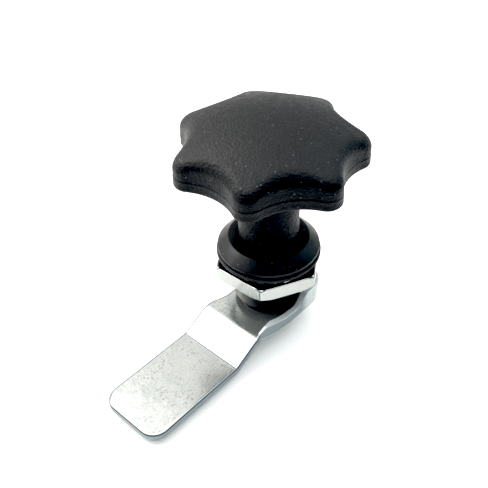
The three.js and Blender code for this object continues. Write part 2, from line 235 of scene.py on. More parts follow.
def lathe(name, section, segments=192, change=None, sharp=35):
    """A closed section turned round the Z axis. change(radius, z, angle) may give a point a new radius."""
    angles = [TURN * i / segments for i in range(segments)]
    rings = [[polar(change(r, z, a) if change else r, a, z) for a in angles] for r, z in section]
    return build(name, *stack(rings, closed=True), sharp)


def smooth(t):
    """An even slope from 0 to 1, level at both ends."""
    t = min(1.0, max(0.0, t))
    return t * t * (3 - 2 * t)


def radians_between(start, end, count):
    """Angles from start to end, both in degrees, turned into radians."""
    return [math.radians(a) for a in np.linspace(start, end, count)]


def thread(z, angle, pitch):
    """Height of a rounded 60 degree thread, 0 at the root and 1 at the crest, for a right-hand helix."""
    root_width, flank = 0.1, 0.72
    phase = (z / pitch - angle / TURN) % 1.0
    return smooth((1 - abs(2 * phase - 1) - root_width) / flank)


def carve(obj, cutter, sharp):
    """Cuts one mesh out of another and removes the cutter."""
    modifier = obj.modifiers.new("cut", "BOOLEAN")
    modifier.operation = "DIFFERENCE"
    modifier.solver = "EXACT"
    modifier.object = cutter
    evaluated = obj.evaluated_get(bpy.context.evaluated_depsgraph_get())
    mesh = bpy.data.meshes.new_from_object(evaluated)
    obj.modifiers.clear()
    old = obj.data
    obj.data = mesh
    bpy.data.meshes.remove(old)
    cut_mesh = cutter.data
    bpy.data.objects.remove(cutter)
    bpy.data.meshes.remove(cut_mesh)
    mesh.set_sharp_from_angle(angle=math.radians(sharp))


def prism(name, outline, bottom, top):
    return build(name, *closed_tube([[(x, y, z) for x, y in outline] for z in (bottom, top)]))


def place(obj, body, slot, material, *nodes):
    """Gives a piece its material and its body, and hides the CAD nodes it stands in for. slot is not used.
    """
    material_slot(obj, material)
    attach(obj, body)
    if nodes:
        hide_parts(*nodes)


# ---- materials ----
def grey(level):
    return (level, level, level)


class Tree:
    """Short names for the shader nodes that the room and the materials share."""

    def __init__(self, owner):
        owner.use_nodes = True
        self.tree = owner.node_tree

    def add(self, kind, **values):
        node = self.tree.nodes.new(kind)
        for key, value in values.items():
            setattr(node, key, value)
        return node

    def link(self, source, target):
        self.tree.links.new(source, target)

    def ramp(self, factor, *stops, blend="LINEAR"):
        """Each stop is (position, colour)."""
        node = self.add("ShaderNodeValToRGB")
        node.color_ramp.interpolation = blend
        elements = node.color_ramp.elements
        while len(elements) < len(stops):
            elements.new(0.5)
        for element, (position, colour) in zip(elements, stops):
            element.position = position
            element.color = (*colour, 1)
        self.link(factor, node.inputs["Fac"])
        return node.outputs["Color"]

    def span(self, factor, low_in, high_in, low_out, high_out, blend="LINEAR"):
        node = self.add("ShaderNodeMapRange", interpolation_type=blend)
        ends = {"From Min": low_in, "From Max": high_in, "To Min": low_out, "To Max": high_out}
        for key, value in ends.items():
            node.inputs[key].default_value = value
        self.link(factor, node.inputs["Value"])
        return node.outputs["Result"]


class Nodes(Tree):
    """The nodes of one material."""

    def __init__(self, name):
        self.material = bpy.data.materials.new(name)
        super().__init__(self.material)
        self.shader = self.tree.nodes["Principled BSDF"]
        self.place = self.add("ShaderNodeTexCoord").outputs["Object"]

    def feed(self, socket, value):
        """Gives a socket a number, a colour or another node's output."""
        if isinstance(value, (int, float)):
            socket.default_value = value
        elif isinstance(value, tuple):
            socket.default_value = (*value, 1)
        else:
            self.link(value, socket)

    def stretched(self, factors):
        mapping = self.add("ShaderNodeMapping")
        mapping.inputs["Scale"].default_value = factors
        self.link(self.place, mapping.inputs["Vector"])
        return mapping.outputs["Vector"]

    def noise(self, scale, detail=3.0, rough=0.5, vector=None):
        node = self.add("ShaderNodeTexNoise")
        node.inputs["Scale"].default_value = scale
        node.inputs["Detail"].default_value = detail
        node.inputs["Roughness"].default_value = rough
        self.link(vector or self.place, node.inputs["Vector"])
        return node.outputs["Fac"]

    def cells(self, scale):
        """Distance to the nearest of many scattered points, as a share of their spacing."""
        node = self.add("ShaderNodeTexVoronoi", feature="F1")
        node.inputs["Scale"].default_value = scale
        self.link(self.place, node.inputs["Vector"])
        return node.outputs["Distance"]

    def grey_ramp(self, factor, *stops):
        return self.ramp(factor, *[(position, grey(level)) for position, level in stops])

    def between(self, factor, low_out, high_out):
        """The middle of a noise, spread over a range of values."""
        return self.span(factor, 0.3, 0.7, low_out, high_out)

    def blotches(self, factor, dark, light):
        """The middle of a noise, as a blend of two colours."""
        return self.ramp(factor, (0.3, dark), (0.7, light))

    def maths(self, operation, a, b):
        node = self.add("ShaderNodeMath", operation=operation)
        self.feed(node.inputs[0], a)
        self.feed(node.inputs[1], b)
        return node.outputs["Value"]

    def times(self, a, b):
        return self.maths("MULTIPLY", a, b)

    def mix(self, factor, a, b):
        node = self.add("ShaderNodeMix", data_type="RGBA")
        colour_a, colour_b, colour_out = node.inputs[6], node.inputs[7], node.outputs[2]
        self.feed(node.inputs[0], factor)
        self.feed(colour_a, a)
        self.feed(colour_b, b)
        return colour_out

    def bump(self, *layers):
        """Each layer is (height, distance in metres, strength); layers add up from the first."""
        normal = None
        for height, distance, strength in layers:
            node = self.add("ShaderNodeBump")
            node.inputs["Distance"].default_value = distance
            node.inputs["Strength"].default_value = strength
            self.link(height, node.inputs["Height"])
            if normal:
                self.link(normal, node.inputs["Normal"])
            normal = node.outputs["Normal"]
        self.link(normal, self.shader.inputs["Normal"])

    def dust(self):
        """Sparse pale specks, about a quarter of a millimetre across."""
        dots = self.grey_ramp(self.cells(680), (0.04, 1.0), (0.13, 0.0))
        rare = self.grey_ramp(self.noise(330, 0), (0.40, 0.0), (0.46, 1.0))
        return self.times(dots, rare)

    def set(self, **values):
        """Sets the shader's own sockets by name, with _ for a space."""
        for key, value in values.items():
            self.feed(self.shader.inputs[key.replace("_", " ")], value)


DUST_COLOUR = (0.40, 0.40, 0.39)


def knob_nylon():
    """Satin black moulding with a fine leathery grain."""
    n = Nodes("knob_nylon")
    dust_share, fine_share = 0.26, 0.35
    broad = n.noise(90, 4, 0.6)
    grain = n.noise(2600, 2, 0.6)
    pores = n.cells(1500)
    specks = n.dust()
    base = n.blotches(broad, (0.0085, 0.0085, 0.009), (0.0125, 0.012, 0.0115))
    fine = n.between(grain, 0.8, 1.25)
    toned = n.mix(n.times(fine, fine_share), base, (0.014, 0.014, 0.015))
    n.set(
        Base_Color=n.mix(n.times(specks, dust_share), toned, DUST_COLOUR),
        Roughness=n.between(n.noise(420, 4, 0.65), 0.40, 0.54),
        Specular_IOR_Level=0.27,
    )
    n.bump((pores, 0.00014, 0.75), (grain, 0.00015, 0.9), (n.noise(160, 2), 0.0003, 0.12))
    return n.material


def housing_coat():
    """Satin black powder coat, smoother than the knob."""
    n = Nodes("housing_coat")
    dust_share = 0.32
    base = n.blotches(n.noise(140, 4, 0.6), (0.008, 0.008, 0.009), grey(0.013))
    grain = n.noise(2200, 3, 0.6)
    n.set(
        Base_Color=n.mix(n.times(n.dust(), dust_share), base, DUST_COLOUR),
        Roughness=n.between(n.noise(500, 3), 0.36, 0.48),
        Specular_IOR_Level=0.32,
    )
    n.bump((grain, 0.00008, 0.5), (n.noise(700, 2), 0.0001, 0.25))
    return n.material


def seal_rubber():
    n = Nodes("seal_rubber")
    n.set(
        Base_Color=n.blotches(n.noise(300, 4), (0.008, 0.008, 0.009), (0.016, 0.016, 0.017)),
        Roughness=n.between(n.noise(800, 3), 0.55, 0.72),
    )
    n.bump((n.noise(1800, 3), 0.00006, 0.4))
    return n.material


def zinc_skin(n, light, pitting):
    """Bright zinc, softly cloudy and finely pitted. Returns its colour and gives the shader its bump."""
    cloud = n.noise(110, 3, 0.55)
    grain = n.noise(2600, 3, 0.65)
    stops = ((0.25, (0.475, 0.505, 0.505)), (0.5, (0.525, 0.545, 0.535)), (0.8, (0.565, 0.57, 0.55)))
    tint = n.ramp(cloud, *[(at, tuple(light * v for v in colour)) for at, colour in stops])
    pits = n.grey_ramp(n.cells(1150), (0.13, 1.0), (0.36, 0.0))
    patches = n.grey_ramp(n.noise(240, 4, 0.75), (0.46, 0.0), (0.56, 1.0))
    marked = n.times(n.times(pits, patches), pitting)
    pitted = n.mix(marked, tint, (0.20, 0.215, 0.22))
    n.bump((n.noise(1100, 3, 0.6), 0.0002, 0.05), (grain, 0.00005, 0.25))
    return n.mix(n.span(grain, 0.45, 0.8, 0.0, 0.5), pitted, (0.30, 0.32, 0.32))


def zinc_polish(n):
    return n.between(n.noise(420, 4, 0.65), 0.14, 0.22)


def zinc_bright():
    n = Nodes("zinc_bright")
    # the zinc here is painted darker than the sheet's (light 0.86 against 0.96): painted shade on the nut,
    # the bolt and the washers
    n.set(
        Base_Color=zinc_skin(n, light=0.86, pitting=0.45),
        Metallic=1.0,
        Roughness=zinc_polish(n),
    )
    return n.material


def zinc_sheet():
    """Plated sheet: edges bright and rough where cut, dull on cut faces, dark in the burr. The rim's outer
    face is painted dull and dark towards its front and bright at its back, and the tops of left-facing
    edges are painted dark: painted shade.
    """
    n = Nodes("zinc_sheet")
    # dull_and_shade_colour is the dull cut face and the painted shade on the rim's outer face;
    # burr_and_shade_colour is the burr and the painted shade along left-facing edges
    cut_colour, dull_and_shade_colour, burr_and_shade_colour = (0.50, 0.54, 0.545), (0.20, 0.235, 0.25), (0.05, 0.055, 0.06)
    cut_roughness = 0.22
    finish = n.add("ShaderNodeAttribute", attribute_name="sheared").outputs["Fac"]
    cut = n.grey_ramp(finish, (0.02, 0.0), (0.28, 1.0))
    dull_and_shade = n.grey_ramp(finish, (0.36, 0.0), (0.58, 1.0))
    # the burr and the hairline, and also painted shade along the top of left-facing edges
    burr_and_shade = n.grey_ramp(finish, (0.66, 0.0), (0.92, 1.0))
    edge = n.mix(dull_and_shade, n.mix(cut, zinc_skin(n, light=0.96, pitting=0.8), cut_colour), dull_and_shade_colour)
    polish = zinc_polish(n)
    n.set(
        Base_Color=n.mix(burr_and_shade, edge, burr_and_shade_colour),
        Metallic=n.grey_ramp(finish, (0.02, 0.81), (0.28, 0.3), (0.4, 0.3), (0.6, 0.55)),
        Roughness=n.maths("ADD", polish, n.times(cut, cut_roughness)),
    )
    return n.material


def turned_steel():
    """Steel with fine tool marks round its axis."""
    n = Nodes("turned_steel")
    rings = n.noise(260, 5, 0.7, vector=n.stretched((0.02, 0.02, 6.0)))
    n.set(
        Base_Color=n.blotches(n.noise(200, 4), (0.42, 0.43, 0.45), grey(0.58)),
        Metallic=1.0,
        Roughness=n.between(rings, 0.24, 0.42),
    )
    n.bump((rings, 0.0001, 0.3))
    return n.material


def washer_plastic():
    n = Nodes("washer_plastic")
    n.set(
        Base_Color=n.blotches(n.noise(250, 4), (0.62, 0.60, 0.54), (0.74, 0.72, 0.66)),
        Roughness=n.between(n.noise(900, 3), 0.38, 0.55),
        Subsurface_Weight=0.1,
    )
    n.bump((n.noise(1500, 3), 0.00005, 0.3))
    return n.material


NYLON = knob_nylon()
COAT = housing_coat()
RUBBER = seal_rubber()
SHEET = zinc_sheet()
ZINC = zinc_bright()
STEEL = turned_steel()
PLASTIC = washer_plastic()


# ---- star knob ----
def star_outline(steps):
    """Points, outward directions and lobe share (1 on a lobe, 0 in mid scoop) round the star."""
    half = math.pi / STAR["lobes"]
    lobe_centre = STAR["radius"] - STAR["lobe_radius"]
    k = STAR["lobe_radius"] - STAR["scoop_floor"]
    scoop_centre = (lobe_centre**2 - k**2) / (2 * (k + lobe_centre * math.cos(half)))
    scoop_radius = scoop_centre - STAR["scoop_floor"]
    lobe_sweep = math.atan2(scoop_centre * math.sin(half), scoop_centre * math.cos(half) - lobe_centre)
    scoop_sweep = lobe_sweep - half
    points, outward, lobe_share = [], [], []
    for lobe in range(STAR["lobes"]):
        middle = math.radians(STAR["first_lobe"]) + 2 * half * lobe
        for side, centre, facing, radius, sweep in (
            (1, lobe_centre, middle, STAR["lobe_radius"], lobe_sweep),
            (-1, scoop_centre, middle + half, scoop_radius, scoop_sweep),
        ):
            for step in range(steps):
                t = 2 * step / steps - 1
                angle = facing + t * sweep if side > 0 else facing + math.pi - t * sweep
                out = np.array([math.cos(angle), math.sin(angle)])
                points.append(centre * np.array([math.cos(facing), math.sin(facing)]) + radius * out)
                outward.append(side * out)
                lobe_share.append(1.0 if side > 0 else abs(t) ** 1.5)
    return np.array(points), np.array(outward), np.array(lobe_share)


def neck_profile():
    """(radius, height) from the bore's top down to the neck's foot, past its seal and up to the star."""
    n = NECK
    wall, foot = n["radius"], n["bottom"]
    seal_floor = wall - n["seal_depth"]
    profile = [
        (0.5, n["bore_top"]), (n["bore"], n["bore_top"]),
        (n["bore"], foot + n["edge"]), (n["bore"] + n["mouth"], foot),
        (wall - n["edge"], foot), (wall - n["edge_middle"], foot + n["edge_middle"]),
        (wall, foot + n["edge"]), (wall, n["seal_bottom"]),
        (seal_floor, n["seal_bottom"]), (seal_floor, n["seal_top"]), (wall, n["seal_top"]),
    ]
    top, fillet = STAR["bottom"], n["fillet"]
    profile += [(wall, height) for height in np.linspace(n["plain_from"], top - fillet, 8)]
    for turn in np.linspace(0, math.pi / 2, 8)[1:]:
        profile.append((wall + fillet * (1 - math.cos(turn)), top - fillet * (1 - math.sin(turn))))
    return profile


def parting_line():
    """(height, how far the side stands proud there) from below the parting line to its dent."""
    p = PARTING
    line = STAR["bottom"] + p["lift"]
    return [
        (STAR["bottom"] + p["low"], 0), (line - p["foot"], 0), (line - p["half"], p["proud"]),
        (line + p["half"], p["proud"]), (line + p["dent_lift"], -p["dent"]),
    ]


def star_knob():
    """The knob as rings of points: its neck, its flat underside, its sides and its domed top."""
    points, outward, lobe_share = star_outline(24)
    angles = np.arctan2(points[:, 1], points[:, 0])
    unit = np.c_[np.cos(angles), np.sin(angles)]
    count = len(points)
    bottom, draft, low_edge = STAR["bottom"], STAR["draft"], STAR["bottom_round"]
    edge = STAR["scoop_round"] + (STAR["lobe_round"] - STAR["scoop_round"]) * lobe_share

    def crown(xy):
        return STAR["crown_top"] - (xy**2).sum(1) / (2 * STAR["crown_radius"])

    def ring(xy, heights):
        return np.c_[xy, np.broadcast_to(heights, count)]

    def side(height, proud=0.0):
        inset = draft * (height - bottom) - proud
        return points - outward * np.broadcast_to(inset, count)[:, None]

    rings = [ring(unit * radius, height) for radius, height in neck_profile()]
    inner = unit * (NECK["radius"] + NECK["fillet"])
    rim = points - outward * low_edge
    for t in (0.15, 0.3, 0.5, 0.7, 0.85, 0.95):
        rings.append(ring(inner + (rim - inner) * t, bottom))
    for turn in np.linspace(0, math.pi / 2, 7):
        inset = low_edge * (1 - math.sin(turn))
        rings.append(ring(points - outward * inset, bottom + low_edge * (1 - math.cos(turn))))
    rings += [ring(side(height, proud), height) for height, proud in parting_line()]
    side_top = crown(points) - edge
    start = bottom + PARTING["lift"] + PARTING["clear"]
    for t in (0.0, 0.25, 0.5, 0.75):
        heights = start + (side_top - start) * t
        rings.append(ring(side(heights), heights))
    top_inset = draft * (side_top - bottom)
    for turn in np.linspace(0, math.pi / 2, 13):
        xy = points - outward * (top_inset + edge * (1 - math.cos(turn)))[:, None]
        rings.append(ring(xy, crown(xy) - edge * (1 - math.sin(turn))))
    flat = points - outward * (top_inset + edge)[:, None]
    for scale in (0.96, 0.91, 0.85, 0.78, 0.7, 0.61, 0.52, 0.43, 0.34, 0.25, 0.16, 0.08):
        xy = flat * scale
        rings.append(ring(xy, crown(xy)))
    rings = [[tuple(p) for p in r] for r in rings]
    mesh = capped(rings, (0, 0, NECK["bore_top"]), (0, 0, STAR["crown_top"]))
    place(build("knob_moulding", *mesh, 50), "rotor", "knob_nylon", NYLON, "star_knob")


# ---- housing ----
def stop_groove():
    """A cutter for the groove, closed at both ends and open below the housing's end face."""
    inner, outer, ceiling = GROOVE["inner"], GROOVE["outer"], GROOVE["ceiling"]
    foot = low("housing")[2] - 1
    corners = ((inner, foot), (outer, foot), (outer, ceiling), (inner, ceiling))
    angles = radians_between(GROOVE["from"], GROOVE["to"], 41)
    return build("groove_cutter", *closed_tube([[polar(r, a, z) for r, z in corners] for a in angles]))


def housing_section():
    """The casting's closed section, up its outside, down its recess and bore and round the clip's room."""
    f, b, r = FLANGE, BARREL, RECESS
    bottom = low("housing")[2]
    return rounded([
        (r["clip_room"], bottom, 0.25), (b["body_end"], bottom, 0.12),
        (b["body"], b["end"] - b["body_top"], 0.15), (b["radius"] - b["chamfer"], b["end"], 0.1),
        (b["radius"], b["end"] + b["chamfer_height"], 0.1), (b["radius"], f["under"], 0.15),
        (f["radius"], f["under"], 0.3), (f["radius"], f["land_top"], 0.3),
        (f["top_radius"], f["top"], 0.3), (r["radius"], f["top"], 0.35),
        (r["radius"], r["floor"], 0.3), (r["bore"], r["floor"], 0.2),
        (r["bore"], r["clip_top"], 0), (r["clip_room"], r["clip_top"], 0.1),
    ])


def threaded_radius(radius, z, angle):
    """The radius of a point of the casting, cut down where it lies on the thread."""
    b = BARREL
    lowest, highest = b["end"] - 0.1, FLANGE["under"] - b["plain_under_flange"]
    on_barrel = b["radius"] - 1.2 <= radius <= b["radius"] + 0.01
    if not on_barrel or not lowest <= z <= highest:
        return radius
    fade = smooth((highest - z) / b["thread_fade"])
    depth = (b["radius"] - b["root"]) * (1 - thread(z, angle, b["pitch"])) * fade
    return min(radius, b["radius"] - depth)


def housing():
    section = housing_section()
    row_height, shortest = 0.11, 4
    dense = []
    for i, p in enumerate(section):
        q = section[(i + 1) % len(section)]
        dense.append(p)
        on_barrel = all(abs(end[0] - BARREL["radius"]) < 0.05 for end in (p, q))
        if on_barrel and abs(q[1] - p[1]) > shortest:
            steps = int(abs(q[1] - p[1]) / row_height)
            dense += [(p[0], p[1] + (q[1] - p[1]) * k / steps) for k in range(1, steps)]
    body = lathe("housing_casting", dense, 240, threaded_radius, 40)
    carve(body, stop_groove(), 40)
    place(body, "housing", "housing_coat", COAT, "housing")


def ring_piece(name, node, inner, body, slot, material, fillet=0.15, segments=128):
    """A plain ring with eased edges, as wide and as tall as its CAD node."""
    bottom, top = low(node), high(node)
    section = rounded([
        (inner, bottom[2], fillet), (top[0], bottom[2], fillet),
        (top[0], top[2], fillet), (inner, top[2], fillet),
    ])
    place(lathe(name, section, segments), body, slot, material, node)


# ---- nuts, bolt and washers ----
def hex_radius(across, angle, start):
    """Distance from the middle to a hexagon's side, where start is the angle of one of its corners."""
    sixth = TURN / 6
    from_corner = (angle - start) % sixth
    from_flat = abs(from_corner - sixth / 2)
    return across / 2 / math.cos(from_flat)


def hex_angles(start, per_side):
    """Angles round a hexagon, closer together towards its corners, with one on every corner."""
    angles = []
    for side in range(6):
        for step in range(per_side):
            t = step / per_side
            eased = 0.5 - 0.5 * math.cos(math.pi * t)
            angles.append(start + TURN / 6 * (side + 0.35 * t + 0.65 * eased))
    return angles


class HexRings:
    """Rings of points round a hexagon, each with a radius and a height at every angle."""

    def __init__(self, sizes, per_side):
        self.across = sizes["across"]
        self.start = math.radians(sizes["corner_angle"])
        self.limit = self.across / 2 / math.cos(math.pi / 6) - sizes["blunt"]
        self.angles = hex_angles(self.start, per_side)
        self.rings = []

    def corner(self, angle, ease=0.0):
        """The radius of the hexagon's side, blunt at its corners and drawn in by ease."""
        return min(hex_radius(self.across, angle, self.start), self.limit) - ease

    def chamfer(self, angle, face):
        """How far a 30 degree chamfer that begins at the radius of the face has gone at the side."""
        return max(0.0, (self.corner(angle) - face) * math.tan(math.radians(30)))

    def level(self, radius, height):
        """Adds a ring. The radius and the height are each a number or a function of the angle."""
        def at(value, angle):
            return value(angle) if callable(value) else value

        self.rings.append([polar(at(radius, a), a, at(height, a)) for a in self.angles])


def hex_nut():
    """Thin nut: chamfered below, nearly square above, with the barrel's thread in its bore."""
    bottom, top = low("hex_nut")[2], high("hex_nut")[2]
    nut = HexRings(NUT, 40)
    face, top_face, deep = NUT["face"], NUT["top_face"], NUT["thread_depth"]
    bore = BARREL["radius"] + NUT["play"]
    round_edge, lip = 0.12, 0.1

    def lower(a):
        return bottom + nut.chamfer(a, face)

    def upper(a):
        return top - nut.chamfer(a, top_face)

    nut.level(bore + deep, bottom)
    nut.level(lambda a: min(face, nut.corner(a)) - 0.25, bottom)
    nut.level(lambda a: min(face, nut.corner(a, lip)), bottom + 0.03)
    nut.level(lambda a: nut.corner(a, round_edge), lambda a: lower(a) + 0.02)
    nut.level(nut.corner, lambda a: lower(a) + 0.15)
    nut.level(nut.corner, lambda a: upper(a) - 0.18)
    nut.level(lambda a: nut.corner(a, round_edge), lambda a: upper(a) - 0.04)
    nut.level(lambda a: min(top_face, nut.corner(a, 0.2)), top)
    nut.level(bore + deep, top)
    row_height, cut_share = 0.12, 0.98
    rows = int((top - bottom) / row_height)
    for row in range(rows + 1):
        z = top + (bottom - top) * row / rows
        mouth = max(0.0, deep - min(top - z, z - bottom))
        nut.level(lambda a: bore + max(mouth, deep * (1 - thread(z, a, BARREL["pitch"]))) * cut_share, z)
    mesh = stack(nut.rings, closed=True)
    place(build("clamp_nut", *mesh, 28), "nut", "zinc_plate", ZINC, "hex_nut")


def cam_bolt():
    """Hex bolt with a shallow dish in its head, a collar under it and a real thread."""
    bottom, top = low("cam_bolt")[2], high("cam_bolt")[2]
    bolt = HexRings(BOLT, 20)
    collar = BOLT["collar"]
    face = BOLT["across"] / 2 - collar
    shoulder = bottom + BOLT["head"]
    lip = 0.1

    def lower(a):
        return bottom + bolt.chamfer(a, face)

    dish = ((2.6, 0.25), (3.2, 0.1), (3.5, 0.0))
    for radius, depth in dish:
        bolt.level(radius, bottom + depth)
    bolt.level(face - lip, bottom)
    bolt.level(face, bottom + 0.03)
    bolt.level(lambda a: bolt.corner(a, lip), lambda a: lower(a) + 0.02)
    bolt.level(bolt.corner, lambda a: lower(a) + 0.15)
    bolt.level(bolt.corner, shoulder - 0.35)
    bolt.level(lambda a: bolt.corner(a, lip), shoulder - collar)
    bolt.level(face, shoulder - collar)
    bolt.level(face - 0.15, shoulder)
    bolt.level(BOLT["neck"], shoulder)
    row_height, neck_length, end_length = 0.14, 0.3, 0.6
    rows = int((top - shoulder - neck_length) / row_height)
    for row in range(rows + 1):
        z = shoulder + neck_length + (top - shoulder - neck_length - end_length) * row / rows
        bolt.level(lambda a: BOLT["root"] + BOLT["thread_depth"] * thread(z, a, BOLT["pitch"]), z)
    bolt.level(BOLT["end"], top)
    mesh = capped(bolt.rings, (0, 0, bottom + dish[0][1]), (0, 0, top))
    place(build("cam_screw", *mesh, 28), "rotor", "zinc_plate", ZINC, "cam_bolt")


def lock_washer():
    """Outside-toothed lock washer: every tooth is twisted a little out of the washer's plane."""
    bottom, top = low("lock_washer")[2], high("lock_washer")[2]
    teeth, inner, root, tip = 22, 11.3, 12.3, 13.0
    rise, tooth, twist, per_tooth = 0.1, 0.5, 0.1, 16
    thick = (top - bottom) * 0.55
    middle = (top + bottom) / 2

    def tooth_share(share):
        return smooth(share / rise) - smooth((share - rise - tooth) / rise)

    def ring(reach, side):
        points = []
        for i in range(teeth * per_tooth):
            share = (i % per_tooth) / per_tooth
            angle = TURN * i / (teeth * per_tooth)
            radius = inner + (root + (tip - root) * tooth_share(share) - inner) * reach
            beyond = max(0.0, radius - root) / (tip - root)
            tilt = twist * beyond * (share - rise - tooth / 2) / (tooth / 2)
            points.append(polar(radius, angle, middle + side * thick / 2 + tilt))
        return points

    reaches = (0, 0.45, 0.75, 1.0)
    rings = [ring(reach, -1) for reach in reaches] + [ring(reach, 1) for reach in reaches[::-1]]
    mesh = stack(rings, closed=True)
    place(build("toothed_washer", *mesh, 30), "clamp_washer", "zinc_plate", ZINC, "lock_washer")


def spring_washer():
    """Split washer: one turn of a rectangular helix with a small gap."""
    bottom, top = low("cam_spring_washer")[2], high("cam_spring_washer")[2]
    inner, outer, fillet = 3.3, 5.4, 0.12
    section = rounded([(inner, 0, fillet), (outer, 0, fillet), (outer, 1, fillet), (inner, 1, fillet)], 3)
    thick = (top - bottom) * 0.8
    lift = (top - bottom) - thick
    gap = math.radians(7)
    steps = 96
    rings = []
    for i in range(steps + 1):
        t = i / steps
        angle = gap / 2 + (TURN - gap) * t
        foot = bottom + lift * t
        rings.append([polar(r, angle, foot + h * thick) for r, h in section])
    split = build("split_washer", *closed_tube(rings), 40)
    place(split, "rotor", "zinc_plate", ZINC, "cam_spring_washer")


# ---- cam ----
def arc(centre, radius, start, end, steps):
    """Points and outward directions on an arc, in degrees."""
    found = []
    for a in radians_between(start, end, steps + 1):
        out = np.array([math.cos(a), math.sin(a)])
        found.append((np.array(centre) + radius * out, out))
    return found


def curve(a, b, c, d, steps):
    """Points on a cubic curve with the direction to the right of travel."""
    found = []
    a, b, c, d = (np.array(p, float) for p in (a, b, c, d))
    for i in range(steps + 1):
        t = i / steps
        point = a * (1 - t) ** 3 + 3 * b * t * (1 - t) ** 2 + 3 * c * t * t * (1 - t) + d * t**3
        travel = (b - a) * (1 - t) ** 2 + 2 * (c - b) * t * (1 - t) + (d - c) * t * t
        travel = travel / np.linalg.norm(travel)
        found.append((point, np.array([travel[1], -travel[0]])))
    return found


def line(a, b, out, steps):
    a, b = np.array(a, float), np.array(b, float)
    return [(a + (b - a) * i / steps, np.array(out, float)) for i in range(steps + 1)]


class Crank:
    """The strip's middle line seen from the side. flat is a place along it, equal to y before the bends.

    On the flat strip, from the tip back, the foot bend runs from foot_end to slope_start, and the crest
    bend from slope_end to start.
    """

    def __init__(self):
        p = PLATE
        self.angle = math.atan2(p["drop"], p["crest"] - p["foot"])
        half = math.tan(self.angle / 2)
        crest_tangent = p["crest_bend"] * half
        foot_tangent = p["foot_bend"] * half
        self.crest_arc = p["crest_bend"] * self.angle
        self.foot_arc = p["foot_bend"] * self.angle
        whole = math.hypot(p["drop"], p["crest"] - p["foot"])
        self.slope = whole - crest_tangent - foot_tangent
        self.foot_y = p["foot"] - foot_tangent
        self.start = p["crest"] + crest_tangent
        self.tip = self.start - (self.crest_arc + self.slope + self.foot_arc + self.foot_y - p["tip"])
        self.slope_end = self.start - self.crest_arc
        self.slope_start = self.slope_end - self.slope
        self.foot_end = self.slope_start - self.foot_arc
        self.hairline_start = self.foot_end - p["hairline"]

    def at(self, flat):
        """(y, drop, turn) of the middle line."""
        p = PLATE
        s = self.start - flat
        if s <= 0:
            return flat, 0.0, 0.0
        turn = min(s / p["crest_bend"], self.angle)
        y = self.start - p["crest_bend"] * math.sin(turn)
        z = -p["crest_bend"] * (1 - math.cos(turn))
        if s <= self.crest_arc:
            return y, z, turn
        s -= self.crest_arc
        if s <= self.slope:
            return y - s * math.cos(self.angle), z - s * math.sin(self.angle), self.angle
        s -= self.slope
        if s <= self.foot_arc:
            turn = self.angle - s / p["foot_bend"]
            y = self.foot_y + p["foot_bend"] * math.sin(turn)
            return y, -p["drop"] + p["foot_bend"] * (1 - math.cos(turn)), turn
        return self.foot_y - (s - self.foot_arc), -p["drop"], 0.0

    def hairline(self, flat):
        """The finish of the top, with a dark hairline across it where the blade meets the foot bend."""
        width = PLATE["hairline"]
        return 0.95 if abs(flat - self.hairline_start - 1.5 * width) < 0.6 * width else SKIN


def rim_height(point):
    """How far the rim stands above the plate at a point on the outline, 0 where there is none."""
    x, y = point
    r = RIM
    if x < 0 or y < r["start"]:
        return 0.0
    rise = smooth((y - r["start"]) / r["ramp"])
    dip = (r["middle"] - r["front"]) * smooth((y - r["dip_from"]) / r["dip_length"])
    climb = (r["back"] - r["middle"]) * smooth((y - r["climb_from"]) / r["climb_length"])
    fall = smooth((x - r["end"]) / r["fall"])
    return rise * (r["front"] + dip + climb) * fall


